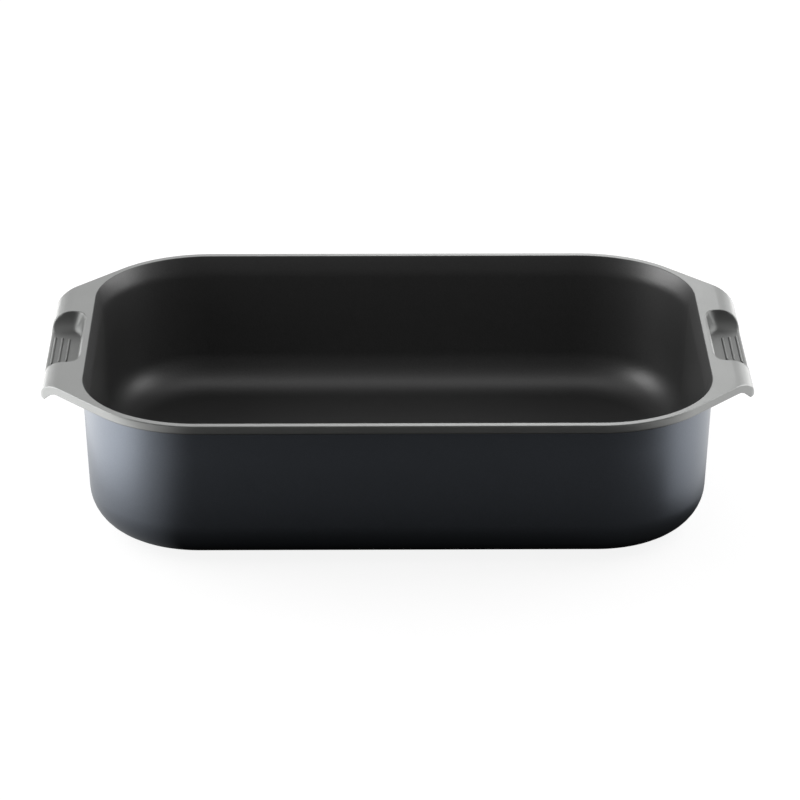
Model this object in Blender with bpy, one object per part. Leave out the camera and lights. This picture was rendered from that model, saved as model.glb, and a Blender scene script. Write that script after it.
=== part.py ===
"""Roasting pan of cast aluminium with flange handles, a non-stick lining and a lacquered outside.

Metres, +Z up. The origin is the middle of the ground base, in the plane that the pan stands on.
X runs along the pan, from handle to handle, and Y across it.
"""

import bpy
import bmesh
from math import ceil, cos, pi, radians, sin, tan
from mathutils import Matrix, Vector

# Mouth, measured in the plane of the rim
MOUTH_LENGTH = 0.350
MOUTH_WIDTH = 0.250
MOUTH_CORNER_RADIUS = 0.0655
MOUTH_FLARE = 0.0030
MOUTH_FLARE_DEPTH = 0.0100

# Bowl
TOTAL_HEIGHT = 0.0862
WALL_THICKNESS = 0.0035
WALL_DRAFT = radians(2.5)
FLOOR_THICKNESS = 0.0050
FLOOR_FILLET_RADIUS = 0.0160
BASE_FILLET_RADIUS = 0.0240

# Ground base pad, a little proud of the lacquered underside
PAD_STEP = 0.0004
PAD_MARGIN = 0.0010

# Rim, a flat land with an upright band below its outer edge
RIM_LAND_WIDTH = 0.0043
RIM_THICKNESS = 0.0050

# Flange handles, one at each short side, which run on from the rim
HANDLE_REACH = 0.0194
HANDLE_EDGE_NORMAL = radians(41.6)
HANDLE_CORNER_RADIUS = 0.0090
LIP_RADIUS = 0.0080
LIP_DROP = 0.0107
LIP_INNER_RADIUS = 0.0050
LIP_SLOPE = radians(48.0)
LIP_TIP_WIDTH = 0.0024
LIP_TIP_RADIUS = 0.0010

# Finger recess in each handle, open at the outer edge
RECESS_LENGTH = 0.0750
RECESS_LAND = 0.0050
RECESS_DEPTH = 0.0090
RECESS_CORNER_RADIUS = 0.0080
RECESS_SCOOP = 0.0075
RECESS_SHELL = 0.0032
RECESS_FOOT_RADIUS = 0.0016

# Grip ribs on the floor of each recess
RIB_COUNT = 3
RIB_PITCH = 0.0041
RIB_WIDTH = 0.0015
RIB_HEIGHT = 0.0009
RIB_SHOULDER_RADIUS = 0.0005
RIB_LENGTH = 0.0410
RIB_TAPER = 0.0035
RIB_EDGE_OFFSET = 0.0029

# Coatings, as separate skins with a clearance to the casting
LINING_THICKNESS = 0.0004
LACQUER_THICKNESS = 0.0004
CLEARANCE = 0.0003
BARE_EDGE = 0.0006

# Fineness of the curves
CORNER_STEP = radians(7.5)
PROFILE_STEP = radians(12.0)
FLARE_STEP = radians(6.0)
LIP_STEP = radians(9.0)
EDGE_STEP = radians(30.0)
SCOOP_STEPS = 6
SHARP_ANGLE = radians(32.0)
OVERSHOOT = 0.0200

# Values worked out from the ones above
RIM_Z = TOTAL_HEIGHT
FLOOR_Z = PAD_STEP + FLOOR_THICKNESS
HANDLE_END = MOUTH_LENGTH / 2 + RIM_LAND_WIDTH + HANDLE_REACH
RECESS_INNER = MOUTH_LENGTH / 2 + RECESS_LAND
RECESS_FLOOR_Z = RIM_Z - RECESS_DEPTH
COATED_EDGE = BARE_EDGE + CLEARANCE
LACQUER_SEAT = LACQUER_THICKNESS + CLEARANCE
LINING_SEAT = LINING_THICKNESS + CLEARANCE


def arc(centre, radius, start, end, step):
    """Points of an arc in a plane, ends included, no further apart than step."""
    count = max(1, ceil(abs(end - start) / step - 1e-6))
    angles = [start + (end - start) * i / count for i in range(count + 1)]
    return [(centre[0] + radius * cos(a), centre[1] + radius * sin(a)) for a in angles]


def rounded(corners, step=CORNER_STEP):
    """Outline through corners (x, y, radius), each corner with a radius turned into an arc."""
    outline = []
    for i, (x, y, radius) in enumerate(corners):
        if radius <= 0:
            outline.append((x, y))
            continue
        here = Vector((x, y))
        to_last = Vector(corners[i - 1][:2]) - here
        to_next = Vector(corners[(i + 1) % len(corners)][:2]) - here
        room = min(to_last.length, to_next.length) / 2
        half = to_last.angle(to_next) / 2
        radius = min(radius, room * tan(half))
        to_last.normalize()
        to_next.normalize()
        centre = here + (to_last + to_next).normalized() * radius / sin(half)
        first = here + to_last * radius / tan(half) - centre
        turn = pi - 2 * half
        side = 1 if to_last.cross(to_next) < 0 else -1
        count = max(1, ceil(turn / step - 1e-6))
        for k in range(count + 1):
            spoke = Matrix.Rotation(side * turn * k / count, 2) @ first
            outline.append(tuple(centre + spoke))
    return outline


def parallel(profile, distance):
    """The open profile moved sideways by distance, to the left of its direction."""
    moved = []
    for i, point in enumerate(profile):
        before = Vector(profile[max(i - 1, 0)])
        after = Vector(profile[min(i + 1, len(profile) - 1)])
        here = Vector(point)
        steps = [s.normalized() for s in (here - before, after - here) if s.length > 0]
        along = sum(steps, Vector((0, 0))).normalized()
        spread = along.dot(steps[0])
        moved.append(tuple(here + Vector((-along.y, along.x)) * distance / spread))
    return moved


def mouth_ring(offset, z):
    """The outline of the mouth moved outward by offset, at height z."""
    x = MOUTH_LENGTH / 2 + offset
    y = MOUTH_WIDTH / 2 + offset
    r = MOUTH_CORNER_RADIUS + offset
    outline = rounded([(x, y, r), (-x, y, r), (-x, -y, r), (x, -y, r)])
    return [Vector((px, py, z)) for px, py in outline]


def new_object(name, bm):
    """A Blender object from a closed mesh, with its faces pointing out."""
    bmesh.ops.recalc_face_normals(bm, faces=bm.faces)
    mesh = bpy.data.meshes.new(name)
    bm.to_mesh(mesh)
    bm.free()
    part = bpy.data.objects.new(name, mesh)
    bpy.context.scene.collection.objects.link(part)
    return part


def loft(name, rings):
    """A closed solid through rings with the same number of points, the end rings filled."""
    bm = bmesh.new()
    rows = [[bm.verts.new(point) for point in ring] for ring in rings]
    for low, high in zip(rows, rows[1:]):
        for i in range(len(low)):
            bm.faces.new((low[i - 1], low[i], high[i], high[i - 1]))
    bm.faces.new(rows[0])
    bm.faces.new(rows[-1])
    return new_object(name, bm)


def sweep(name, profile):
    """A solid whose profile of (offset, z) points runs round the outline of the mouth."""
    return loft(name, [mouth_ring(offset, z) for offset, z in profile])


def prism_up(name, outline, low, high):
    """A plan outline extruded upward."""
    return loft(name, [[Vector((x, y, z)) for x, y in outline] for z in (low, high)])


def prism_across(name, section, half_width):
    """An (x, z) section extruded along Y."""
    return loft(name, [[Vector((x, y, z)) for x, z in section] for y in (-half_width, half_width)])


def boolean(target, tool, operation):
    """Joins, cuts or intersects target with tool, and removes the tool."""
    modifier = target.modifiers.new(operation.title(), "BOOLEAN")
    modifier.operation = operation
    modifier.solver = "EXACT"
    modifier.object = tool
    depsgraph = bpy.context.evaluated_depsgraph_get()
    result = bpy.data.meshes.new_from_object(target.evaluated_get(depsgraph))
    target.modifiers.clear()
    old = target.data
    target.data = result
    bpy.data.meshes.remove(old)
    mesh = tool.data
    bpy.data.objects.remove(tool)
    bpy.data.meshes.remove(mesh)
    return target


def outer_profile(inset):
    """The bowl's outside as (offset, z), from the flat of the base up into the rim."""
    top = RIM_Z - RIM_THICKNESS / 2
    base = PAD_STEP
    lean = tan(WALL_DRAFT)
    wall_at_rim = WALL_THICKNESS - MOUTH_FLARE
    reach = BASE_FILLET_RADIUS * (1 - sin(WALL_DRAFT))
    fillet_end_z = base + reach
    fillet_end = wall_at_rim - (RIM_Z - fillet_end_z) * lean
    centre = (fillet_end - BASE_FILLET_RADIUS * cos(WALL_DRAFT), base + BASE_FILLET_RADIUS)
    turn = arc(centre, BASE_FILLET_RADIUS - inset, -pi / 2, -WALL_DRAFT, PROFILE_STEP)
    side = wall_at_rim - (RIM_Z - top) * lean - inset / cos(WALL_DRAFT)
    return turn + [(side, top)]


def base_flat():
    """How far the flat of the base lies inside the outline of the mouth, as an offset."""
    return outer_profile(0.0)[0][0]


def inner_profile():
    """The lining's face as (offset, z), from the flat of the floor up to the mouth's edge."""
    lean = tan(WALL_DRAFT)
    radius = FLOOR_FILLET_RADIUS
    fillet_end_z = FLOOR_Z + radius * (1 - sin(WALL_DRAFT))
    fillet_end = -MOUTH_FLARE - (RIM_Z - fillet_end_z) * lean
    centre = (fillet_end - radius * cos(WALL_DRAFT), FLOOR_Z + radius)
    turn = arc(centre, radius, -pi / 2, -WALL_DRAFT, PROFILE_STEP)
    flare_start = (-MOUTH_FLARE - MOUTH_FLARE_DEPTH * lean, RIM_Z - MOUTH_FLARE_DEPTH)
    return turn + flare(flare_start)


def flare(start):
    """An arc that leaves the wall smoothly at start and reaches the mouth's edge."""
    chord = Vector((0.0, RIM_Z)) - Vector(start)
    bend = chord.angle(Vector((0, 1))) - WALL_DRAFT
    radius = chord.length / (2 * sin(bend))
    centre = (start[0] + radius * cos(WALL_DRAFT), start[1] - radius * sin(WALL_DRAFT))
    return arc(centre, radius, pi - WALL_DRAFT, pi - WALL_DRAFT - 2 * bend, FLARE_STEP)


def cut_at_height(profile, height):
    """The part of a rising profile that lies below height, ended exactly at it."""
    kept = [point for point in profile if point[1] < height - 1e-6]
    low = kept[-1]
    high = profile[len(kept)]
    share = (height - low[1]) / (high[1] - low[1])
    return kept + [(low[0] + (high[0] - low[0]) * share, height)]


def flange_outline(side_inset, end_inset):
    """Plan of the rim and the two handles, its edges and its ends moved inward."""
    edge = MOUTH_WIDTH / 2 + RIM_LAND_WIDTH
    radius = MOUTH_CORNER_RADIUS + RIM_LAND_WIDTH
    centre_x = MOUTH_LENGTH / 2 + RIM_LAND_WIDTH - radius
    centre_y = edge - radius
    nx, ny = cos(HANDLE_EDGE_NORMAL), sin(HANDLE_EDGE_NORMAL)
    reach = nx * centre_x + ny * centre_y + radius - side_inset
    side = edge - side_inset
    end = HANDLE_END - end_inset
    shoulder = (reach - ny * side) / nx
    tip = (reach - nx * end) / ny
    large = radius - side_inset
    small = HANDLE_CORNER_RADIUS - side_inset
    quarter = [(end, tip, small), (shoulder, side, large)]
    corners = quarter + [(-x, y, r) for x, y, r in reversed(quarter)]
    corners += [(-x, -y, r) for x, y, r in corners]
    return rounded(corners)


def lip_bend(depth):
    """The quarter turn of a lip's outer face, seen along Y, at a depth below that face."""
    centre = (HANDLE_END - LIP_RADIUS, RIM_Z - LIP_RADIUS)
    return arc(centre, LIP_RADIUS - depth, pi / 2, 0.0, LIP_STEP)


def lip_inner_x(z, inset):
    """Where the sloping inner face of a lip, moved into the metal by inset, lies at height z."""
    above_tip = z - (RIM_Z - LIP_DROP)
    return HANDLE_END - LIP_TIP_WIDTH - above_tip / tan(LIP_SLOPE) + inset / sin(LIP_SLOPE)


def flange_section(top_inset, under_inset):
    """Section of the flange along X: level in the middle, with a tapering lip at each end."""
    under_z = RIM_Z - RIM_THICKNESS + under_inset
    tip_z = RIM_Z - LIP_DROP + under_inset
    tip_radius = LIP_TIP_RADIUS - under_inset
    corners = [(x, z, 0) for x, z in lip_bend(top_inset)]
    corners += [(HANDLE_END - top_inset, tip_z, tip_radius)]
    corners += [(lip_inner_x(tip_z, under_inset), tip_z, tip_radius)]
    corners += [(lip_inner_x(under_z, under_inset), under_z, LIP_INNER_RADIUS + under_inset)]
    mirrored = [(-x, z, r) for x, z, r in reversed(corners)]
    return rounded(corners + mirrored, LIP_STEP)


def flange(name, inset, bare_inset):
    """The slab of rim and handles: its bent section trimmed to its plan."""
    section = flange_section(bare_inset, inset)
    slab = prism_across(name, section, MOUTH_WIDTH / 2 + OVERSHOOT)
    plan = flange_outline(bare_inset, bare_inset)
    trim = prism_up("plan_trim", plan, RIM_Z - LIP_DROP - OVERSHOOT, RIM_Z + OVERSHOOT)
    return boolean(slab, trim, "INTERSECT")


def scoop(name, side, grow, low_z, top_z):
    """A dish with a level floor and hollowed sides, for the recess or the shell below it."""
    inner = RECESS_INNER - grow
    outer = HANDLE_END + OVERSHOOT
    half = RECESS_LENGTH / 2 + grow
    radius = RECESS_CORNER_RADIUS + grow
    reach = RECESS_SCOOP + grow
    depth = RIM_Z - low_z
    steps = [pi / 2 * i / SCOOP_STEPS for i in range(SCOOP_STEPS, -1, -1)]
    levels = [(reach * (1 - cos(a)), RIM_Z - depth * sin(a)) for a in steps]
    levels = [level for level in levels if level[1] < top_z - 1e-6] + [(0.0, top_z)]
    rings = []
    for inset, z in levels:
        x0, x1 = inner + inset, outer - inset
        y = half - inset
        r = radius - inset
        outline = rounded([(x1, y, r), (x0, y, r), (x0, -y, r), (x1, -y, r)])
        rings.append([Vector((side * px, py, z)) for px, py in outline])
    return loft(name, rings)


def recess_shell(side, inset, bare_inset):
    """The metal that carries a recess from below, flush with the lip's outer face."""
    low = RECESS_FLOOR_Z - RECESS_SHELL + inset
    shell = scoop("recess_shell", side, RECESS_SHELL - inset, low, RIM_Z - RIM_THICKNESS / 2)
    start = MOUTH_LENGTH / 2
    foot = RECESS_FOOT_RADIUS - bare_inset
    corners = [(start, RIM_Z - bare_inset, 0)]
    corners += [(x, z, 0) for x, z in lip_bend(bare_inset)]
    corners += [(HANDLE_END - bare_inset, low, foot), (start, low, 0)]
    section = [(side * x, z) for x, z in rounded(corners, EDGE_STEP)]
    return boolean(shell, prism_across("end_trim", section, RECESS_LENGTH), "INTERSECT")


def outside(name, inset, bare_inset):
    """The whole outer form, filled: lacquered faces moved inward by inset, bare ones by bare_inset."""
    form = flange(name, inset, bare_inset)
    boolean(form, sweep("bowl", outer_profile(inset)), "UNION")
    for side in (-1, 1):
        boolean(form, recess_shell(side, inset, bare_inset), "UNION")
    return form


def coated_region(depth):
    """All that lies deeper than depth below the flange's top, its edge band and the lips' ends."""
    bend = lip_bend(depth)
    half = bend + [(bend[-1][0], -OVERSHOOT)]
    section = half + [(-x, z) for x, z in reversed(half)]
    region = prism_across("coated_region", section, MOUTH_WIDTH)
    plan = flange_outline(depth, 0.0)
    trim = prism_up("edge_trim", plan, -2 * OVERSHOOT, RIM_Z + OVERSHOOT)
    return boolean(region, trim, "INTERSECT")


def grip_rib(side, number):
    """One low rib with round shoulders along a recess's floor, shorter the further in it lies."""
    x = HANDLE_END - RIB_EDGE_OFFSET - number * RIB_PITCH
    half = RIB_WIDTH / 2
    foot = RECESS_FLOOR_Z - RIB_HEIGHT
    crest = RECESS_FLOOR_Z + RIB_HEIGHT
    corners = [(x - half, foot, 0), (x + half, foot, 0)]
    corners += [(x + half, crest, RIB_SHOULDER_RADIUS), (x - half, crest, RIB_SHOULDER_RADIUS)]
    section = [(side * px, pz) for px, pz in rounded(corners, EDGE_STEP)]
    length = RIB_LENGTH - number * RIB_TAPER
    return prism_across("rib", section, length / 2)


def cast_body():
    """The casting: bowl, rim and handles in one piece, with a ground pad under it."""
    body = outside("cast_body", LACQUER_SEAT, BARE_EDGE / 2)
    edges = boolean(outside("bare_edges", 0.0, 0.0), coated_region(BARE_EDGE), "DIFFERENCE")
    boolean(body, edges, "UNION")
    pad_outline = [(p.x, p.y) for p in mouth_ring(base_flat() - PAD_MARGIN, 0.0)]
    boolean(body, prism_up("pad", pad_outline, 0.0, FLOOR_Z - FLOOR_THICKNESS / 2), "UNION")
    face = inner_profile()
    seat = cut_at_height(parallel(face, -LINING_SEAT), RIM_Z - BARE_EDGE)
    edge = [point for point in face if point[1] > RIM_Z - BARE_EDGE]
    mouth = cut_at_height(face, RIM_Z - BARE_EDGE)[-1:] + edge + [(0.0, RIM_Z + OVERSHOOT)]
    boolean(body, sweep("cavity", seat + mouth), "DIFFERENCE")
    for side in (-1, 1):
        recess = scoop("recess", side, 0.0, RECESS_FLOOR_Z, RIM_Z + OVERSHOOT)
        boolean(body, recess, "DIFFERENCE")
        for number in range(RIB_COUNT):
            boolean(body, grip_rib(side, number), "UNION")
    return body


def nonstick_lining():
    """The skin that lines the bowl, from the floor up to just under the rim's bare edge."""
    top = RIM_Z - COATED_EDGE
    face = cut_at_height(inner_profile(), top)
    back = cut_at_height(parallel(inner_profile(), -LINING_THICKNESS), top)
    return sweep("nonstick_lining", face + back[::-1])


def outer_lacquer():
    """The skin outside: the wall and the underside of the rim and the handles."""
    skin = outside("outer_lacquer", 0.0, 0.0)
    boolean(skin, outside("core", LACQUER_THICKNESS, LACQUER_THICKNESS), "DIFFERENCE")
    boolean(skin, coated_region(COATED_EDGE), "INTERSECT")
    opening = [(p.x, p.y) for p in mouth_ring(base_flat() - PAD_MARGIN + CLEARANCE, 0.0)]
    boolean(skin, prism_up("pad_opening", opening, -OVERSHOOT, FLOOR_Z), "DIFFERENCE")
    return skin


def finish(part, name, colour, metallic, roughness):
    """Gives the part its material and shades its round stretches smooth."""
    material = bpy.data.materials.new(name)
    material.use_nodes = True
    surface = material.node_tree.nodes["Principled BSDF"]
    surface.inputs["Base Color"].default_value = (*colour, 1.0)
    surface.inputs["Metallic"].default_value = metallic
    surface.inputs["Roughness"].default_value = roughness
    material.diffuse_color = (*colour, 1.0)
    part.data.materials.clear()
    part.data.materials.append(material)
    part.data.shade_smooth()
    part.data.set_sharp_from_angle(angle=SHARP_ANGLE)


def main():
    for old in list(bpy.data.objects):
        bpy.data.objects.remove(old)
    finish(cast_body(), "bare cast aluminium", (0.36, 0.36, 0.36), 1.0, 0.38)
    finish(nonstick_lining(), "black non-stick coating", (0.012, 0.012, 0.012), 0.0, 0.42)
    finish(outer_lacquer(), "anthracite lacquer", (0.020, 0.023, 0.028), 0.2, 0.36)


main()
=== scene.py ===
# %% [markdown]
# # A cast roasting pan
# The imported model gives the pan's size, its place and the three things that it is made of: the
# casting, the black coating inside and the lacquer outside. Its solids are plain and faceted, so
# this lesson makes one finer skin of the whole pan, cuts the three pieces from it, gives each its
# finish, and lights it as a product photographer would.
# The pan's lengths are written in millimetres, as on a foundry's drawing, and are turned to metres
# when its pieces are made. Its heights are counted from the rim, because everything on a pan is
# drawn down from its rim. Camera, floor and lamps are set in metres.

# %% Load the frame and keep its size
from math import cos, hypot, pi, radians, sin, sqrt, tan

import bmesh
import bpy
from mathutils import Matrix, Vector


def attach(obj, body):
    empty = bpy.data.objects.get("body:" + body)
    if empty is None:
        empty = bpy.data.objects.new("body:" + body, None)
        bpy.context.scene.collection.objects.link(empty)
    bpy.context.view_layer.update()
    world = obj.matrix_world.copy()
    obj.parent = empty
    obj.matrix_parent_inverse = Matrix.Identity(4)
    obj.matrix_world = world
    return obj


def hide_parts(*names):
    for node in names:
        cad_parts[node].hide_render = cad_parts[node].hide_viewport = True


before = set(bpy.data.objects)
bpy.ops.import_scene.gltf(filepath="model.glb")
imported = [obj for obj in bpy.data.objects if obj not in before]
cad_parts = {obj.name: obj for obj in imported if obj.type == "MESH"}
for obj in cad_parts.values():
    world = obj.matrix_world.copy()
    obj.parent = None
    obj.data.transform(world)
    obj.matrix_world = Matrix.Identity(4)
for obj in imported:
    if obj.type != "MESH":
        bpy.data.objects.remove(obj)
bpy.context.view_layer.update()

# %% [markdown]
# ## The plan of the rim
# Seen from above, the mouth is a rectangle with large round corners, and a level land runs round
# it. At each short side the land widens into a handle with a straight end and slanted sides. A
# quarter of the pan is enough, because its halves are alike.
# The plan is cut into stations. A station is a straight cut from the mouth to the outer edge. It
# holds a centre and a direction for the mouth, and a centre, a direction and a radius for the
# edge, so a station on a round corner is written in the same way as one on a straight side.

# %% Plan sizes
MOUTH_HALF_LENGTH = 175.0
MOUTH_HALF_WIDTH = 125.0
MOUTH_RADIUS = 65.5
LAND = 4.3
EDGE_RADIUS = MOUTH_RADIUS + LAND
HANDLE_END = 198.7
HANDLE_CORNER = 9.0
SLANT = radians(41.6)
CORE = Vector((MOUTH_HALF_LENGTH - MOUTH_RADIUS, MOUTH_HALF_WIDTH - MOUTH_RADIUS))


def way_at(turn):
    """The direction in the plan that is turned by an angle from the handle's own."""
    return Vector((cos(turn), sin(turn)))


slant_way = way_at(SLANT)
slant_reach = slant_way.dot(CORE) + EDGE_RADIUS
corner_x = HANDLE_END - HANDLE_CORNER
corner_y = (slant_reach - HANDLE_CORNER - slant_way.x * corner_x) / slant_way.y
handle_corner = Vector((corner_x, corner_y))
print("the handle's corner turns about", handle_corner)

# %% [markdown]
# ## Where the stations lie
# The finger recess needs cuts close together where its ends curve, and so do the round ends of
# its ribs. A straight wall needs hardly any. The lists below put the stations where the shape
# turns, so that the mesh stays light and every curve looks round.

# %% Rows of values
def spread(start, end, count):
    """count + 1 values, evenly from start to end."""
    return [start + (end - start) * i / count for i in range(count + 1)]


def thinned(values, least=0.09):
    """The values in order, without those that lie closer together than least."""
    kept = []
    for value in sorted(values):
        if not kept or value - kept[-1] > least:
            kept.append(value)
    return kept


print("five values from 0 to 1:", spread(0, 1, 4))

# %% Stations along the short side, at the handle
RECESS_HALF = 37.5
RECESS_ROUND = 1.4
SCOOP_ALONG = 11.5
SCOOP_STEPS = 22
ROUND_STEPS = 6
scoop_shares = [1 - cos(turn) for turn in spread(0, pi / 2, SCOOP_STEPS)]
round_insets = [RECESS_ROUND * (sin(turn) - 1) for turn in spread(0, pi / 2, ROUND_STEPS)]

ribbed_rows = spread(0, 15, 3)
rib_end_rows = spread(15.25, 20, 19)
plain_floor_rows = [21.5, 23.5]
scoop_rows = [RECESS_HALF - SCOOP_ALONG * share for share in scoop_shares]
scoop_edge_rows = [RECESS_HALF - inset for inset in round_insets]
outer_rows = [39.1, 39.9, 41.2, 43.5, 47, 51, 55, CORE.y]
rows = ribbed_rows + rib_end_rows + plain_floor_rows
rows = thinned(rows + scoop_rows + scoop_edge_rows + outer_rows)

end_way = Vector((1, 0))
stations = []
for y in rows:
    stations.append((Vector((CORE.x, y)), end_way, Vector((corner_x, y)), end_way, HANDLE_CORNER))
print("stations along the handle:", len(stations))

# %% Stations round the handle's corner and along its slanted side
CORNER_STEPS = 9
SLANT_STEPS = 18
slant_start = handle_corner + slant_way * HANDLE_CORNER
slant_end = CORE + slant_way * EDGE_RADIUS
corner_length = corner_y - CORE.y + SLANT * HANDLE_CORNER
fan_length = corner_length + (slant_end - slant_start).length
for turn in spread(0, SLANT, CORNER_STEPS):
    share = (corner_y - CORE.y + turn * HANDLE_CORNER) / fan_length
    stations.append((CORE, way_at(SLANT * share), handle_corner, way_at(turn), HANDLE_CORNER))
for part in spread(0, 1, SLANT_STEPS)[1:]:
    share = (corner_length + part * (fan_length - corner_length)) / fan_length
    point = slant_start.lerp(slant_end, part) - slant_way * HANDLE_CORNER
    stations.append((CORE, way_at(SLANT * share), point, slant_way, HANDLE_CORNER))
print("stations with those of the fan:", len(stations))

# %% Stations round the rim's corner and along the long side
ROUND_CORNER_STEPS = 20
LONG_SIDE_STEPS = 8
for turn in spread(SLANT, pi / 2, ROUND_CORNER_STEPS)[1:]:
    way = way_at(turn)
    stations.append((CORE, way, CORE, way, EDGE_RADIUS))
side_way = Vector((0, 1))
for x in spread(CORE.x, 0, LONG_SIDE_STEPS)[1:]:
    point = Vector((x, CORE.y))
    stations.append((point, side_way, point, side_way, EDGE_RADIUS))
print("stations in a quarter of the pan:", len(stations))

# %% [markdown]
# ## The outline of the finger recess
# Each handle has a recess for the fingers, open at the lip. Its corners are ovals that are fuller
# than an ellipse. One number says where a point of the plan lies: 0 on the floor, 1 on the
# outline, and more outside. From it comes the distance to the outline, which later rounds the
# edge and shapes the bulge below.

# %% Soft steps and the recess's outline
RECESS_INNER = 179.5
SCOOP_ACROSS = 8.0
CORNER_POWER = 2.8


def smooth_min(a, b, reach):
    """The lower of a and b, with the crease between them rounded over reach."""
    if reach <= 0:
        return min(a, b)
    mix = max(reach - abs(a - b), 0.0) / reach
    return min(a, b) - mix * mix * reach / 4


def smooth_step(low, high, value):
    """0 below low, 1 above high, and a soft slope between them."""
    t = min(max((value - low) / (high - low), 0.0), 1.0)
    return t * t * (3 - 2 * t)


def corner_norm(across, along):
    """The length of two shares together, along an oval that is fuller than an ellipse."""
    return (across ** CORNER_POWER + along ** CORNER_POWER) ** (1 / CORNER_POWER)


def recess_level(x, y):
    """0 on the recess's floor, 1 on its outline, with the shares across and along it."""
    across = max(RECESS_INNER + SCOOP_ACROSS - x, 0.0) / SCOOP_ACROSS
    along = max(y - RECESS_HALF + SCOOP_ALONG, 0.0) / SCOOP_ALONG
    return corner_norm(across, along), across, along


def recess_inset(x, y):
    """How far a point lies inside the recess's outline, negative outside it."""
    level, across, along = recess_level(x, y)
    if level == 0:
        return SCOOP_ACROSS
    across_slope = (across / level) ** (CORNER_POWER - 1) / SCOOP_ACROSS
    along_slope = (along / level) ** (CORNER_POWER - 1) / SCOOP_ALONG
    return min((1 - level) / hypot(across_slope, along_slope), SCOOP_ACROSS)


print("from the outline to a point 2 mm inside it:", recess_inset(RECESS_INNER + 2, 0))

# %% [markdown]
# ## The top, as heights
# The handle's top is level, and then it turns down in a quarter of an ellipse to the lip that
# stiffens it. The recess is a dish: a floor with ribs, hollow ends and a steep inner side. At the
# lip it is open, and its floor rounds over there. Both can be said as one height for each point
# of the plan. The lower of two surfaces wins where one is cut out of the other, and a smooth
# minimum rounds the edge between them.

# %% The lip's turn and the hollow of the recess
LIP_REACH = 11.5
LIP_DROP = 9.6
LIP_START = HANDLE_END - LIP_REACH
RECESS_DEPTH = 9.0
FLOOR_FALL = 0.6
FALL_START = 186.0
FLOOR_EDGE_ROUND = 2.5
FLOOR_EDGE_REACH = 1.8
EDGE_POWER = 1.3
SCOOP_EDGE_LOSS = 0.78
SCOOP_EDGE_TURN = 0.6
SIDE_REACH = 2.0
SIDE_END = 22.0
SCOOP_START = 31.0
SIDE_POWER = 2.1
SCOOP_POWER = 2.4
TINY = 0.01


def lip_height(x):
    """The quarter turn of the lip's outer face."""
    beyond = min(max(x - LIP_START, 0.0), LIP_REACH) / LIP_REACH
    return LIP_DROP * (sqrt(1 - beyond ** 2) - 1)


def floor_depth(x):
    """The recess's floor, which falls a little towards the lip and rounds over at its end."""
    beyond = max(x - FALL_START, 0.0) / (HANDLE_END - FALL_START)
    turn = max(x - HANDLE_END + FLOOR_EDGE_REACH, 0.0)
    rounding = FLOOR_EDGE_ROUND - sqrt(FLOOR_EDGE_ROUND ** 2 - turn ** 2)
    return RECESS_DEPTH + FLOOR_FALL * beyond ** 2 + rounding


def dish_height(x, y):
    """The hollow of the recess, below a round edge that is small at the scooped ends."""
    level, across, along = recess_level(x, y)
    at_scoop = smooth_step(0.0, SCOOP_EDGE_TURN, along / max(level, TINY))
    edge = RECESS_ROUND * (1 - SCOOP_EDGE_LOSS * at_scoop)
    inset = recess_inset(x, y)
    if inset < 0:
        share = max(inset + edge, 0.0) / edge
        return -edge * (1 - (1 - share ** EDGE_POWER) ** (1 / EDGE_POWER))
    reach = SIDE_REACH + (SCOOP_ACROSS - SIDE_REACH) * smooth_step(SIDE_END, SCOOP_START, y)
    across = max(RECESS_INNER + reach - x, 0.0) / reach
    level = min(corner_norm(across, along), 1.0)
    power = SIDE_POWER + (SCOOP_POWER - SIDE_POWER) * (along / max(level, TINY)) ** 2
    return -edge - (1 - level ** power) * (floor_depth(x) - edge)


print("lip at the handle's end:", lip_height(HANDLE_END), "recess floor:", -floor_depth(FALL_START))

# %% Ribs, and the whole top
RIB_CENTRES = (187.6, 191.7, 195.8)
RIB_HALF_LENGTHS = (16.2, 17.9, 19.6)
RIB_HALF_WIDTH = 0.75
RIB_HEIGHT = 0.9
RIB_FULLNESS = 0.6
EDGE_BLEND = 1.0


def rib_height(x, y):
    """The three grip ribs, each with round shoulders and round ends."""
    height = 0.0
    for centre, half in zip(RIB_CENTRES, RIB_HALF_LENGTHS):
        across = (x - centre) / RIB_HALF_WIDTH
        along = max(y - half + RIB_HALF_WIDTH, 0.0) / RIB_HALF_WIDTH
        left = 1 - across ** 2 - along ** 2
        if left > 0:
            height = RIB_HEIGHT * left ** RIB_FULLNESS
    return height


def top_height(x, y):
    """The upper face of rim and handle."""
    lip = lip_height(x)
    if recess_inset(x, y) <= -RECESS_ROUND:
        return lip
    height = smooth_min(lip, dish_height(x, y), min(-lip / 2, EDGE_BLEND))
    if x > RECESS_INNER + SIDE_REACH:
        height = max(height, rib_height(x, y) - floor_depth(x))
    return height


print("crests of the ribs:", [top_height(centre, 0) for centre in RIB_CENTRES])

# %% [markdown]
# ## The underside
# Below, the handle is a slab 5 mm thick. Its lip tapers to a tip, so that the casting comes out of
# its mould, and the recess shows as a bulge that keeps the metal about 3 mm thick.

# %% Heights of the underside
SLAB = 5.0
TIP_DEPTH = 10.7
TIP_WIDTH = 2.4
TIP_SLOPE = radians(48.0)
INNER_BEND = 5.0
SHELL = 3.2
BULGE_DEPTH = 12.2
BULGE_REACH = SCOOP_ACROSS + SHELL
BULGE_BLEND = 1.5
tip_start = HANDLE_END - TIP_WIDTH
slope_foot = tip_start - (TIP_DEPTH - SLAB) / tan(TIP_SLOPE)
bend_start = slope_foot - INNER_BEND * tan(TIP_SLOPE / 2)
bend_end = bend_start + INNER_BEND * sin(TIP_SLOPE)


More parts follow.
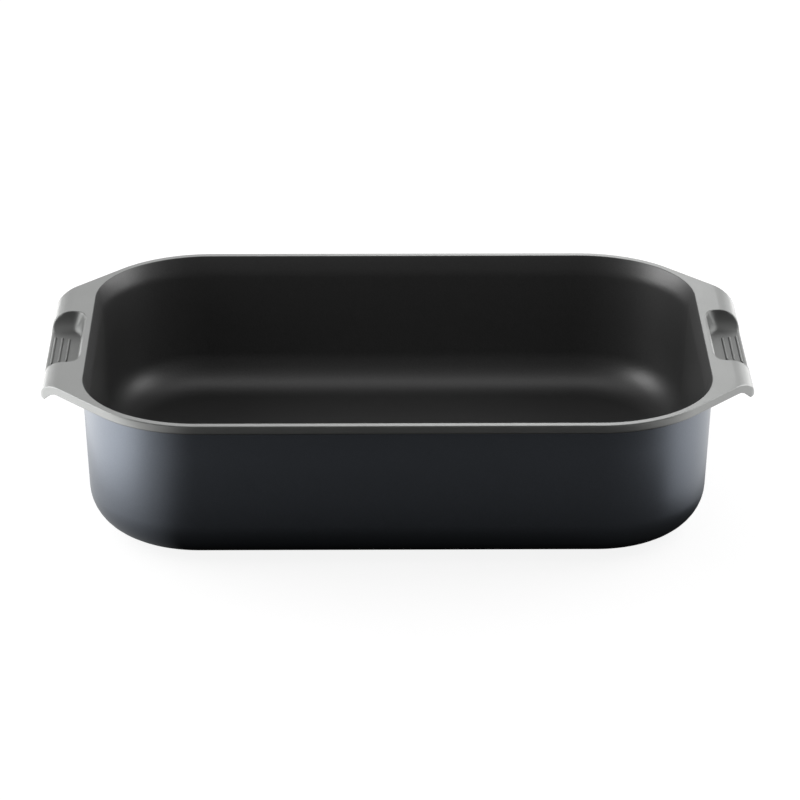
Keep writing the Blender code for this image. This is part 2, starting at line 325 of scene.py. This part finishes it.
def under_height(x, y):
    """The lower face of rim, handle, lip and recess."""
    if x < bend_start:
        height = -SLAB
    elif x < bend_end:
        height = sqrt(INNER_BEND ** 2 - (x - bend_start) ** 2) - INNER_BEND - SLAB
    else:
        height = -SLAB - (x - slope_foot) * tan(TIP_SLOPE)
    height = max(height, -TIP_DEPTH)
    inset = recess_inset(x, y) + SHELL
    if inset <= 0:
        return height
    level = 1 - min(inset / BULGE_REACH, 1.0)
    bulge = -BULGE_DEPTH * sqrt(1 - level * level)
    return smooth_min(height, bulge, BULGE_BLEND)


slab_and_tip = [under_height(x, CORE.y) for x in (MOUTH_HALF_LENGTH, HANDLE_END)]
print("underside of the slab and of the lip's tip:", slab_and_tip)

# %% [markdown]
# ## Fair lines round the recess's corners
# A grid of straight lines meets a round corner in steps, and the shading would show them. So the
# points near the corner are slid until the squares of the grid have become the recess's ovals.
# Further out the slide fades away.

# %% Slide plan points onto ovals round a recess corner
FADE_START = 1.16
FADE_END = 1.5


def fair(x, y):
    """The plan point, moved so that grid lines follow the recess's round corner."""
    p = (RECESS_INNER + SCOOP_ACROSS - x) / SCOOP_ACROSS
    q = (y - RECESS_HALF + SCOOP_ALONG) / SCOOP_ALONG
    if p <= 0 or q <= 0:
        return x, y
    ring = max(p, q)
    turn = pi / 4 * q / p if q <= p else pi / 2 - pi / 4 * p / q
    ring_size = ring / corner_norm(cos(turn), sin(turn))
    oval_x = RECESS_INNER + SCOOP_ACROSS * (1 - ring_size * cos(turn))
    oval_y = RECESS_HALF - SCOOP_ALONG * (1 - ring_size * sin(turn))
    fade = smooth_step(FADE_START, FADE_END, ring)
    return oval_x + (x - oval_x) * fade, oval_y + (y - oval_y) * fade


print("the recess's square corner goes to", fair(RECESS_INNER, RECESS_HALF))

# %% [markdown]
# ## The wall, as a curve
# From the floor a fillet leads into the wall, which leans out a little so that food and casting
# both come free. Near the top the wall bends softly into a straight flare, and the mouth's edge
# is just broken, so that the dark coat ends in a crisp line. Outside, a larger fillet leads under
# the base. Only the part where the pan stands is ground flat, and it stands 0.4 mm proud.

# %% Sizes and helpers for the curves, as distance from the mouth and height
RIM_HEIGHT = 86.2
DRAFT = radians(2.5)
PAD_STEP = 0.4
FLOOR_THICKNESS = 5.0
BASE_DEPTH = PAD_STEP - RIM_HEIGHT
FLOOR_DEPTH = BASE_DEPTH + FLOOR_THICKNESS
FILLET_STEPS = 12


def arc(centre, radius, start, end, count):
    """Points of an arc of a section, ends included."""
    turns = spread(start, end, count)
    return [(centre[0] + radius * cos(turn), centre[1] + radius * sin(turn)) for turn in turns]


def fillet(wall_at_rim, depth, radius):
    """The fillet between a leaning wall and the flat at depth, from the flat upward."""
    end_depth = depth + radius * (1 - sin(DRAFT))
    end = wall_at_rim + end_depth * tan(DRAFT)
    centre = (end - radius * cos(DRAFT), depth + radius)
    return arc(centre, radius, -pi / 2, -DRAFT, FILLET_STEPS)


print("floor and base below the rim:", FLOOR_DEPTH, BASE_DEPTH)

# %% Curve of the inside, from the floor up to the mouth
FLOOR_FILLET = 22.0
FLARE = 3.0
FLARE_LEAN = radians(19.0)
FLARE_BEND = 18.0
FLARE_STEPS = 6
MOUTH_ROUND = 0.5
MOUTH_STEPS = 4
flare_depth = FLARE / (tan(FLARE_LEAN) - tan(DRAFT))
bend_reach = FLARE_BEND * tan((FLARE_LEAN - DRAFT) / 2)
wall_way = Vector((sin(DRAFT), cos(DRAFT)))
flare_way = Vector((sin(FLARE_LEAN), cos(FLARE_LEAN)))
flare_start = flare_way * (-flare_depth / cos(FLARE_LEAN)) - wall_way * bend_reach
flare_centre = flare_start + Vector((cos(DRAFT), -sin(DRAFT))) * FLARE_BEND
mouth_centre = Vector((MOUTH_ROUND * tan(pi / 4 - FLARE_LEAN / 2), -MOUTH_ROUND))
mouth_edge = arc(mouth_centre, MOUTH_ROUND, pi - FLARE_LEAN, pi / 2, MOUTH_STEPS)

inside = fillet(-FLARE, FLOOR_DEPTH, FLOOR_FILLET)
wall_foot = Vector(inside[-1])
for share in (0.33, 0.67):
    inside.append(tuple(wall_foot.lerp(flare_start, share)))
inside += arc(flare_centre, FLARE_BEND, pi - DRAFT, pi - FLARE_LEAN, FLARE_STEPS)
inside += mouth_edge[:-1]
print("lining:", len(inside), "points; it ends", mouth_edge[-1][0], "from the mouth")

# %% Curve of the outside, from under the rim down to the ground base
WALL = 3.5
JUNCTION = 1.5
JUNCTION_STEPS = 4
BASE_FILLET = 24.0
PAD_MARGIN = 1.0
PAD_SLOPE = 0.05
PAD_CHAMFER = 0.1
wall_at_rim = WALL - FLARE
wall_top = -SLAB - JUNCTION
junction_centre = (wall_at_rim + wall_top * tan(DRAFT) + JUNCTION, wall_top)
outside = arc(junction_centre, JUNCTION, pi / 2, pi, JUNCTION_STEPS)
wall_head = Vector(outside[-1])
base_curve = fillet(wall_at_rim, BASE_DEPTH, BASE_FILLET)[::-1]
for share in (0.25, 0.5, 0.75):
    outside.append(tuple(wall_head.lerp(Vector(base_curve[0]), share)))
outside += base_curve
pad_edge = base_curve[-1][0] - PAD_MARGIN
pad = [(pad_edge, BASE_DEPTH)]
pad.append((pad_edge - PAD_SLOPE, PAD_CHAMFER - RIM_HEIGHT))
pad.append((pad_edge - PAD_SLOPE - PAD_CHAMFER, -RIM_HEIGHT))
print("outside:", len(outside), "points; the ground pad starts", pad_edge, "from the mouth")

# %% [markdown]
# ## One section after another
# A section is the whole skin at one station, from the floor up the inside, over the rim and the
# handle, down the outside and under the base. Each strip of it is noted with its finish: coated
# inside up over the mouth's broken edge, bare on the rim's top and its edge band, lacquered
# outside and ground below. Between the mouth and the outer edge, columns say where the points
# lie, and like the stations they lie closest where the recess and its ribs turn.

# %% Columns across the handle
EDGE_ROUND = 0.6
LAND_COLUMNS = [1.4, 2.8, 3.9]
LIP_COLUMNS = [14.65, 18.75, 21.9, 22.2, 22.5, 22.75, 22.95]
TOP_START = mouth_centre[0]
TOP_END = HANDLE_END - MOUTH_HALF_LENGTH - EDGE_ROUND
RIB_SHARES = (-1, -0.8, -0.6, -0.33, 0, 0.33, 0.6, 0.8, 1)
recess_start = RECESS_INNER - MOUTH_HALF_LENGTH
columns = [TOP_START] + LAND_COLUMNS + LIP_COLUMNS
columns += [recess_start + inset for inset in round_insets]
columns += [recess_start + SCOOP_ACROSS * share for share in scoop_shares]
for centre in RIB_CENTRES:
    columns += [centre - MOUTH_HALF_LENGTH + share * RIB_HALF_WIDTH for share in RIB_SHARES]
columns = thinned(columns) + [TOP_END]
print("columns:", len(columns))

# %% Build one section
LINING, BARE, LACQUER, GROUND = range(4)
EDGE_STEPS = 6
ROUND_FADE = 4.0
BAND_FOOT = 0.9
RECESS_FOOT = 1.2
FOOT_START = 31
FOOT_END = 39
BAND_STEPS = 4
FOOT_STEPS = 5
UNDER_COLUMNS = 24


def section(station):
    """The skin at a station, as points and the finish of the strip that follows each."""
    mouth, mouth_way, edge, edge_way, edge_reach = station

    def from_mouth(offset):
        return mouth + mouth_way * (MOUTH_RADIUS + offset)

    def from_edge(inset):
        return edge + edge_way * (edge_reach - inset)

    skin = [(*from_mouth(offset), z, LINING) for offset, z in inside]
    for column in columns:
        share = (column - TOP_START) / (TOP_END - TOP_START)
        x, y = from_mouth(TOP_START).lerp(from_edge(EDGE_ROUND), share)
        x, y = fair(x, y)
        skin.append((x, y, top_height(x, y), BARE))
    edge_x, edge_y = from_edge(0)
    rounding = EDGE_ROUND * (1 + max(lip_height(edge_x), -ROUND_FADE) / ROUND_FADE)
    for turn in spread(0, pi / 2, EDGE_STEPS)[1:]:
        x, y = from_edge(EDGE_ROUND * (1 - sin(turn)))
        skin.append((x, y, top_height(x, y) - rounding * (1 - cos(turn)), BARE))
    at_recess = 1 - smooth_step(FOOT_START, FOOT_END, edge_y)
    foot = BAND_FOOT + (RECESS_FOOT - BAND_FOOT) * at_recess
    low = under_height(edge_x, edge_y) + foot
    high = skin[-1][2]
    skin += [(edge_x, edge_y, z, BARE) for z in spread(high, low, BAND_STEPS)[1:-1]]
    for turn in spread(0, pi / 2, FOOT_STEPS):
        x, y = from_edge(foot * (1 - cos(turn)))
        skin.append((x, y, under_height(x, y) + foot * (1 - sin(turn)), BARE))
    skin[-1] = (*skin[-1][:3], LACQUER)
    start, end = from_edge(foot), from_mouth(outside[0][0])
    for share in spread(0, 1, UNDER_COLUMNS)[1:-1]:
        x, y = start.lerp(end, share)
        skin.append((x, y, under_height(x, y), LACQUER))
    skin += [(*from_mouth(offset), z, LACQUER) for offset, z in outside]
    skin += [(*from_mouth(offset), z, GROUND) for offset, z in pad]
    return skin


sections = [section(station) for station in stations]
print("points in a section:", len(sections[0]))

# %% [markdown]
# ## The skin of the whole pan
# A flat grid has just the right net of squares: one row for each station, and one line for each
# point of a section. Its points are laid on the pan's quarter, which is mirrored twice, and the
# floor and the base are closed with a flat face each. A spin or an extrusion could make the bowl
# alone, but not a handle that grows out of the rim without a seam.

# %% Lay a grid on a quarter of the pan
def quarter_skin():
    """A grid laid on the sections, with the finish of each face as its material number."""
    bm = bmesh.new()
    last_row = len(sections) - 1
    last_line = len(sections[0]) - 1
    bmesh.ops.create_grid(bm, x_segments=last_row, y_segments=last_line, size=1.0)
    place = {}
    for vert in bm.verts:
        row = round((vert.co.x + 1) / 2 * last_row)
        line = round((vert.co.y + 1) / 2 * last_line)
        place[vert] = (row, line)
    for face in bm.faces:
        line = min(place[vert][1] for vert in face.verts)
        face.material_index = sections[0][line][3]
    for vert, (row, line) in place.items():
        vert.co = sections[row][line][:3]
    return bm


skin = quarter_skin()
print("a quarter of the skin:", len(skin.faces), "faces")

# %% Mirror the quarter twice and close the floor and the base
MIRROR_MERGE = 0.001
SEAM_MERGE = 0.0005
for axis in ("X", "Y"):
    everything = list(skin.verts) + list(skin.edges) + list(skin.faces)
    bmesh.ops.mirror(skin, geom=everything, merge_dist=MIRROR_MERGE, axis=axis)
bmesh.ops.remove_doubles(skin, verts=skin.verts, dist=SEAM_MERGE)
open_edges = [edge for edge in skin.edges if edge.is_boundary]
closing = bmesh.ops.holes_fill(skin, edges=open_edges)["faces"]
for face in closing:
    face.material_index = LINING if face.calc_center_median().z > BASE_DEPTH else GROUND
bmesh.ops.recalc_face_normals(skin, faces=skin.faces)
for face in skin.faces:
    face.smooth = True
print("skin:", len(skin.faces), "faces,", sum(not e.is_manifold for e in skin.edges), "open edges")

# %% [markdown]
# ## Three pieces from one skin
# The casting is the whole skin, stepped back by the thickness of a coat wherever one lies on it.
# Each coat is its own part of the skin, given a thickness inward. That way the three pieces meet
# edge to edge, as a sprayed coat ends at a masked edge, and none shows through another.
# The casting keeps three finishes of its own: satin on rim and handles, ground under the base,
# and in the recesses a rougher metal whose darker tone is painted shade, the shade of the hollows.

# %% From a mesh to an object
METRES = 0.001
SHARP = radians(40)


def to_object(name, bm):
    """A Blender object from a mesh in millimetres below the rim, placed on the frame."""
    bmesh.ops.translate(bm, verts=bm.verts, vec=(0, 0, RIM_HEIGHT))
    bmesh.ops.scale(bm, verts=bm.verts, vec=(METRES, METRES, METRES))
    mesh = bpy.data.meshes.new(name)
    bm.to_mesh(mesh)
    bm.free()
    mesh.set_sharp_from_angle(angle=SHARP)
    piece = bpy.data.objects.new(name, mesh)
    bpy.context.scene.collection.objects.link(piece)
    return piece


print("one millimetre in the frame's metres:", METRES)

# %% The casting
COAT_STEP = 0.4
# At the scooped ends the darker recess metal reaches this share over the edge's round, painting shade
# over its highlight.
SCOOP_SHADE_SHARE = 0.6
SATIN_METAL, GROUND_METAL, SHADED_RECESS_METAL = range(3)


def metal_of(face):
    """Which of the casting's finishes a face of the skin gets."""
    middle = face.calc_center_median()
    # Recess faces, and at the scooped ends the edge's round, get the darker metal, which paints the
    # shade there.
    at_scoop = abs(middle.y) > RECESS_HALF - SCOOP_ALONG
    border = -SCOOP_SHADE_SHARE * RECESS_ROUND if at_scoop else 0
    if face.material_index == BARE and recess_inset(abs(middle.x), abs(middle.y)) > border:
        return SHADED_RECESS_METAL
    return GROUND_METAL if face.material_index == GROUND else SATIN_METAL


def casting():
    """The whole skin, sunk by the depth of the coats where they lie."""
    bm = skin.copy()
    coated = [face for face in bm.faces if face.material_index in (LINING, LACQUER)]
    bmesh.ops.inset_region(bm, faces=coated, use_boundary=True, use_even_offset=True,
                           thickness=0.0, depth=-COAT_STEP)
    for face in bm.faces:
        face.material_index = metal_of(face)
    return to_object("pan_casting", bm)


pan_casting = casting()
print(pan_casting.name, len(pan_casting.data.polygons), "faces")

# %% The two coats
COAT_THICKNESS = 0.35


def coat(name, finish):
    """One finish's part of the skin, thickened towards the metal."""
    bm = skin.copy()
    others = [face for face in bm.faces if face.material_index != finish]
    bmesh.ops.delete(bm, geom=others, context="FACES")
    for face in bm.faces:
        face.material_index = 0
    piece = to_object(name, bm)
    thickness = piece.modifiers.new("coat", "SOLIDIFY")
    thickness.thickness = COAT_THICKNESS * METRES
    thickness.offset = -1
    thickness.use_even_offset = True
    return piece


pan_lining = coat("pan_lining", LINING)
pan_lacquer = coat("pan_lacquer", LACQUER)
for piece in (pan_lining, pan_lacquer):
    print(piece.name, len(piece.data.polygons), "faces before its thickness")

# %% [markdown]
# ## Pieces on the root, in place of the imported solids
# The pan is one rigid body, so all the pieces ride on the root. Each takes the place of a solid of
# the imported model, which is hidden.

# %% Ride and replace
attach(pan_casting, "root")
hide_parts("cast_body")
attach(pan_lining, "root")
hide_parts("nonstick_lining")
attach(pan_lacquer, "root")
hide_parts("outer_lacquer")
print("riding on the root:", pan_casting.name, pan_lining.name, pan_lacquer.name)

# %% [markdown]
# ## Tools for the finishes
# A material is a small net of nodes. One helper adds a node, sets its values and links its inputs.
# Colours are picked as on a screen, and Blender reckons in linear light, so they are converted.
# Patterns are sized in millimetres, and their coordinates are metres on the object itself.

# %% Colour and node helpers
def linear(code):
    """A colour written as sRGB hex, in the linear values that Blender reckons in."""
    values = [int(code[i:i + 2], 16) / 255 for i in (1, 3, 5)]
    bright = [v / 12.92 if v <= 0.04045 else ((v + 0.055) / 1.055) ** 2.4 for v in values]
    return (*bright, 1.0)


def per_metre(size):
    """The noise scale at which a pattern's features are about size millimetres."""
    return 1 / (size * METRES)


def add_node(tree, kind, inputs, **settings):
    """Adds a node, with its settings, and with values or links for its inputs."""
    node = tree.nodes.new(kind)
    for name, value in settings.items():
        setattr(node, name, value)
    for name, value in inputs.items():
        if isinstance(value, bpy.types.NodeSocket):
            tree.links.new(value, node.inputs[name])
        else:
            node.inputs[name].default_value = value
    return node


def new_material(name):
    """An empty node material, its surface shader and the object's own coordinates."""
    material = bpy.data.materials.new(name)
    material.use_nodes = True
    tree = material.node_tree
    shader = tree.nodes["Principled BSDF"]
    place = add_node(tree, "ShaderNodeTexCoord", {}).outputs["Object"]
    return material, tree, shader, place


print("mid grey in linear light:", linear("#808080")[:3])

# %% [markdown]
# ## Bare cast aluminium
# The top of the rim and the handles is the casting itself, smoothed with fine grit and left bare.
# It is a satin metal: plain grey, with soft reflections and a grain that can just be seen. In the
# recesses it is rougher, and its darker tone is painted shade, the shade that falls in the hollows.
# The real grain is about 0.2 mm, too fine for the picture, so it is drawn at 0.7 mm. Cloudy changes
# of tone, some 30 mm wide, are those of work by hand.

# %% Satin cast aluminium, and a darker one that paints the shade in the recesses
GRAIN_SIZE = 0.7
GRAIN_DEPTH = 0.00006
CLOUD_SIZE = 30.0
SHINE_SPREAD = 0.10


def cast_aluminium(name, dark, light, roughness):
    """Cast aluminium between two tones: a soft shine with a fine even grain."""
    material, tree, shader, place = new_material(name)
    grain = add_node(tree, "ShaderNodeTexNoise",
                     {"Vector": place, "Scale": per_metre(GRAIN_SIZE), "Detail": 3.0})
    cloud = add_node(tree, "ShaderNodeTexNoise",
                     {"Vector": place, "Scale": per_metre(CLOUD_SIZE), "Detail": 4.0})
    tone = add_node(tree, "ShaderNodeMix", {"Factor": cloud.outputs["Fac"], "A": linear(dark),
                                            "B": linear(light)}, data_type="RGBA")
    bump = add_node(tree, "ShaderNodeBump", {"Height": grain.outputs["Fac"], "Strength": 0.35,
                                             "Distance": GRAIN_DEPTH})
    shine = add_node(tree, "ShaderNodeMapRange", {"Value": grain.outputs["Fac"],
                                                  "To Min": roughness,
                                                  "To Max": roughness + SHINE_SPREAD})
    tree.links.new(tone.outputs["Result"], shader.inputs["Base Color"])
    tree.links.new(shine.outputs["Result"], shader.inputs["Roughness"])
    tree.links.new(bump.outputs["Normal"], shader.inputs["Normal"])
    shader.inputs["Metallic"].default_value = 1.0
    return material


satin_aluminium = cast_aluminium("satin cast aluminium", "#828382", "#8a8b8a", roughness=0.36)
# The recess metal's darker tones are painted shade; its higher roughness is its own duller finish.
shaded_recess_aluminium = cast_aluminium("recess aluminium with painted shade", "#6c6d6c", "#757675", roughness=0.46)
print("made:", satin_aluminium.name, "and", shaded_recess_aluminium.name)

# %% Ground aluminium
BELT_LINE = 0.6
BELT_STRETCH = (0.012, 1.0, 1.0)
BELT_DEPTH = 0.00004


def ground_aluminium():
    """The base, ground flat on a belt: brighter, with fine lines along the pan."""
    # A belt leaves scratches of about 0.1 mm, too fine to show, so they are drawn at 0.6 mm.
    material, tree, shader, place = new_material("ground aluminium")
    stretch = add_node(tree, "ShaderNodeMapping", {"Vector": place, "Scale": BELT_STRETCH})
    lines = add_node(tree, "ShaderNodeTexNoise", {"Vector": stretch.outputs["Vector"],
                                                  "Scale": per_metre(BELT_LINE), "Detail": 4.0})
    tone = add_node(tree, "ShaderNodeMix", {"Factor": lines.outputs["Fac"], "A": linear("#b2b3b4"),
                                            "B": linear("#c6c7c8")}, data_type="RGBA")
    bump = add_node(tree, "ShaderNodeBump", {"Height": lines.outputs["Fac"], "Strength": 0.4,
                                             "Distance": BELT_DEPTH})
    tree.links.new(tone.outputs["Result"], shader.inputs["Base Color"])
    tree.links.new(bump.outputs["Normal"], shader.inputs["Normal"])
    shader.inputs["Metallic"].default_value = 1.0
    shader.inputs["Roughness"].default_value = 0.34
    return material


pan_casting.data.materials.append(satin_aluminium)
pan_casting.data.materials.append(ground_aluminium())
pan_casting.data.materials.append(shaded_recess_aluminium)
print("casting:", [m.name for m in pan_casting.data.materials])

# %% [markdown]
# ## The two sprayed coats
# The inside is sprayed with a black non-stick coat and baked. Such a coat holds a fine mica or
# metal flake, so it mirrors the room as a dark metal does, broad and soft. A metal's colour is the
# share of light that it mirrors, about 13% here, so this grey looks nearly black. The binder dulls
# it at a glancing angle, which the grey specular tint gives. The spray leaves an orange-peel grain
# of about 1 mm.
# The outside is a dark blue-grey lacquer with a fine aluminium flake in it. The flake makes it
# brighten where the surface turns towards a light, more than a plain paint would. The flakes are
# about 0.05 mm wide, so the grain that shows is drawn at 0.9 mm.

# %% Black coating and anthracite lacquer
def sprayed_coat(name, dark, light, grain_size, detail, strength, depth):
    """A sprayed and baked coat between two tones, with a grain that can just be seen."""
    material, tree, shader, place = new_material(name)
    grain = add_node(tree, "ShaderNodeTexNoise",
                     {"Vector": place, "Scale": per_metre(grain_size), "Detail": detail})
    tone = add_node(tree, "ShaderNodeMix", {"Factor": grain.outputs["Fac"], "A": linear(dark),
                                            "B": linear(light)}, data_type="RGBA")
    bump = add_node(tree, "ShaderNodeBump", {"Height": grain.outputs["Fac"], "Strength": strength,
                                             "Distance": depth})
    tree.links.new(tone.outputs["Result"], shader.inputs["Base Color"])
    tree.links.new(bump.outputs["Normal"], shader.inputs["Normal"])
    return material, shader


def black_coating():
    """Black non-stick coat: deep black and satin, with broad soft reflections."""
    material, shader = sprayed_coat("black non-stick coating", "#606060", "#6a6a6a", grain_size=1.1,
                                    detail=4.0, strength=0.5, depth=0.00012)
    shader.inputs["Metallic"].default_value = 0.77
    shader.inputs["Roughness"].default_value = 0.42
    shader.inputs["Specular Tint"].default_value = linear("#a0a0a0")
    return material


def flake_lacquer():
    """Satin stove lacquer with a fine metal flake: dark blue-grey that brightens towards light."""
    material, shader = sprayed_coat("anthracite flake lacquer", "#686d74", "#70757d", grain_size=0.9,
                                    detail=3.0, strength=0.4, depth=0.00008)
    shader.inputs["Metallic"].default_value = 1.0
    shader.inputs["Roughness"].default_value = 0.40
    return material


pan_lining.data.materials.append(black_coating())
pan_lacquer.data.materials.append(flake_lacquer())
print("coats:", pan_lining.data.materials[0].name, "and", pan_lacquer.data.materials[0].name)

# %% [markdown]
# ## The camera
# The photograph was taken from far away with a long lens, from a little above the front. The
# place, the angles and the lens come from fitting the outline of the mouth to the picture.

# %% Camera
SENSOR = 36.0
LENS = 176.383
CAMERA_PLACE = (-0.02360, -2.06738, 0.93635)
CAMERA_PITCH = -0.40664
CAMERA_YAW = -0.0124015
CAMERA_ROLL = -0.00236743
camera_data = bpy.data.cameras.new("camera")
camera_data.sensor_width = SENSOR
camera_data.lens = LENS
camera = bpy.data.objects.new("camera", camera_data)
bpy.context.scene.collection.objects.link(camera)
aim = Matrix.Rotation(CAMERA_YAW, 4, "Z") @ Matrix.Rotation(CAMERA_PITCH, 4, "X")
aim = aim @ Matrix.Rotation(CAMERA_ROLL, 4, "Y") @ Matrix.Rotation(pi / 2, 4, "X")
camera.matrix_world = Matrix.Translation(CAMERA_PLACE) @ aim
bpy.context.scene.camera = camera
print("camera at", camera.matrix_world.translation)

# %% [markdown]
# ## The floor
# The floor is a plain board that keeps the pan's shadow. It is mid grey, so that it throws little
# light up at the pan, and where the camera looks at it, it is lifted to white. Metal shows what
# lies round it, so the floor is also what the pan's walls mirror. Only mirror rays see this: white
# at the sides, and a dark card in front of the pan, with a soft oval edge, which keeps the front
# wall dark. Close to the pan little light reaches the card, and its mirror image darkens there.

# %% Floor sheet
FLOOR_SIZE = 8.0
FLOOR_GAP = 0.0002
floor_mesh = bmesh.new()
bmesh.ops.create_grid(floor_mesh, x_segments=1, y_segments=1, size=FLOOR_SIZE / 2)
floor_data = bpy.data.meshes.new("floor")
floor_mesh.to_mesh(floor_data)
floor_mesh.free()
floor = bpy.data.objects.new("floor", floor_data)
floor.location.z = -FLOOR_GAP
bpy.context.scene.collection.objects.link(floor)
print("floor:", FLOOR_SIZE, "m square")

# %% Floor finish
CARD_PLACE = (0.045, -0.61, 0.0)
CARD_SIZE = (0.285, 0.70, 1.0)
CARD_LEVEL = 0.105
CARD_EDGE = 0.92
BOARD_START = 1.18
NOOK_REACH = 0.10
NOOK_POWER = 2.0
WHITE_LIFT = 0.88


def pale_floor():
    """Matt board, lifted to white where the camera sees it, with a dark card for mirror rays."""
    material, tree, shader, place = new_material("matt white board")
    tree.nodes.remove(shader)
    board = add_node(tree, "ShaderNodeBsdfDiffuse", {"Color": linear("#808080")})
    path = add_node(tree, "ShaderNodeLightPath", {})
    from_card = add_node(tree, "ShaderNodeMapping", {"Vector": place, "Location": CARD_PLACE,
                                                     "Scale": CARD_SIZE}, vector_type="TEXTURE")
    reach = add_node(tree, "ShaderNodeVectorMath", {0: from_card.outputs["Vector"]}, operation="LENGTH")
    nook = add_node(tree, "ShaderNodeAmbientOcclusion", {"Distance": NOOK_REACH}, samples=8)
    dark_nook = add_node(tree, "ShaderNodeMath", {0: nook.outputs["AO"], 1: NOOK_POWER},
                         operation="POWER")
    card = add_node(tree, "ShaderNodeMath", {0: dark_nook.outputs["Value"], 1: CARD_LEVEL},
                    operation="MULTIPLY")
    beyond = add_node(tree, "ShaderNodeMapRange",
                      {"Value": reach.outputs["Value"], "From Min": CARD_EDGE,
                       "From Max": BOARD_START, "To Min": card.outputs["Value"], "To Max": 1.0})
    mirrored = add_node(tree, "ShaderNodeEmission", {"Strength": beyond.outputs["Result"]})
    lift = add_node(tree, "ShaderNodeMath", {0: path.outputs["Is Camera Ray"], 1: WHITE_LIFT},
                    operation="MULTIPLY")
    glow = add_node(tree, "ShaderNodeEmission", {"Strength": lift.outputs["Value"]})
    lifted = add_node(tree, "ShaderNodeAddShader", {0: board.outputs[0], 1: glow.outputs[0]})
    both = add_node(tree, "ShaderNodeMixShader", {0: path.outputs["Is Glossy Ray"],
                                                  1: lifted.outputs[0], 2: mirrored.outputs[0]})
    tree.links.new(both.outputs[0], tree.nodes["Material Output"].inputs["Surface"])
    return material


floor_data.materials.append(pale_floor())
print("floor finish:", floor_data.materials[0].name)

# %% [markdown]
# ## The lamps
# A softbox stands at each side and turns the lips pale. Panels of light lie on the floor beside
# and behind the pan, because a wall that is seen from above mirrors the floor: they draw the
# bright ends of the wall. A small softbox far behind lights the rim and the corners inside, and
# a weak one hangs above. A lamp is set by the brightness of its face, where 1 is white, so a
# larger lamp isn't a brighter one.

# %% Lamps
AIM = (0, 0, 0.05)
PANEL_HEIGHT = 0.001


def softbox(name, place, target, width, height, radiance):
    """A rectangular lamp that faces target, with the brightness of its face given."""
    lamp = bpy.data.lights.new(name, "AREA")
    lamp.shape = "RECTANGLE"
    lamp.size = width
    lamp.size_y = height
    lamp.energy = radiance * pi * width * height
    lamp_object = bpy.data.objects.new(name, lamp)
    way = Vector(target) - Vector(place)
    turned = way.to_track_quat("-Z", "Y").to_matrix().to_4x4()
    lamp_object.matrix_world = Matrix.Translation(place) @ turned
    lamp_object.visible_camera = False
    bpy.context.scene.collection.objects.link(lamp_object)


def floor_panel(name, x, y, width, height, radiance):
    """A lamp that lies on the floor and shines up."""
    softbox(name, (x, y, PANEL_HEIGHT), (x, y, 1.0), width, height, radiance)


softbox("left softbox", (-0.80, 0.22, 0.36), AIM, width=0.9, height=0.7, radiance=3.6)
softbox("right softbox", (0.75, 0.35, 0.36), AIM, width=0.8, height=0.7, radiance=2.6)
floor_panel("left panel", x=-0.54, y=0.13, width=0.60, height=0.64, radiance=1.8)
floor_panel("left rear panel", x=-0.50, y=0.95, width=0.70, height=1.0, radiance=3.0)
floor_panel("right panel", x=0.525, y=0.16, width=0.64, height=0.58, radiance=0.6)
floor_panel("right rear panel", x=0.50, y=0.95, width=0.70, height=1.0, radiance=2.6)
softbox("back softbox", (0.15, 1.9, 0.95), AIM, width=0.4, height=0.5, radiance=3.0)
softbox("overhead softbox", (0.0, -0.2, 1.5), AIM, width=1.2, height=0.5, radiance=0.4)

# %% [markdown]
# ## The room
# The room is grey overhead and darker towards the camera, and behind the pan a white cove rises
# from the floor. The level tops of rim and handles mirror that cove. The camera sees plain white.

# %% World
CEILING_FROM, CEILING_TO = -0.9, 0.1
CEILING_DIM, CEILING_BRIGHT = 0.06, 0.46
RISE_FROM, RISE_TO = 0.08, 0.32
COVE_DIM, COVE_BRIGHT = 0.30, 0.96
COVE_FROM, COVE_TO = 0.6, 0.9
world = bpy.data.worlds.new("studio")
bpy.context.scene.world = world
world.use_nodes = True
room = world.node_tree
background = room.nodes["Background"]
way = add_node(room, "ShaderNodeTexCoord", {}).outputs["Generated"]
parts = add_node(room, "ShaderNodeSeparateXYZ", {"Vector": way})
ceiling = add_node(room, "ShaderNodeMapRange",
                   {"Value": parts.outputs["Y"], "From Min": CEILING_FROM, "From Max": CEILING_TO,
                    "To Min": CEILING_DIM, "To Max": CEILING_BRIGHT})
rise = add_node(room, "ShaderNodeMapRange",
                {"Value": parts.outputs["Z"], "From Min": RISE_FROM, "From Max": RISE_TO,
                 "To Min": COVE_DIM, "To Max": COVE_BRIGHT})
cove = add_node(room, "ShaderNodeMapRange",
                {"Value": parts.outputs["Y"], "From Min": COVE_FROM, "From Max": COVE_TO,
                 "To Min": 0.0, "To Max": rise.outputs["Result"]})
both = add_node(room, "ShaderNodeMath", {0: ceiling.outputs["Result"], 1: cove.outputs["Result"]})
room_seen = add_node(room, "ShaderNodeLightPath", {}).outputs["Is Camera Ray"]
level = add_node(room, "ShaderNodeMath", {0: both.outputs["Value"], 1: room_seen}, operation="MAXIMUM")
room.links.new(level.outputs["Value"], background.inputs["Strength"])
background.inputs["Color"].default_value = (1.0, 1.0, 1.0, 1.0)
bpy.context.scene.view_settings.view_transform = "Standard"
print("world:", world.name)
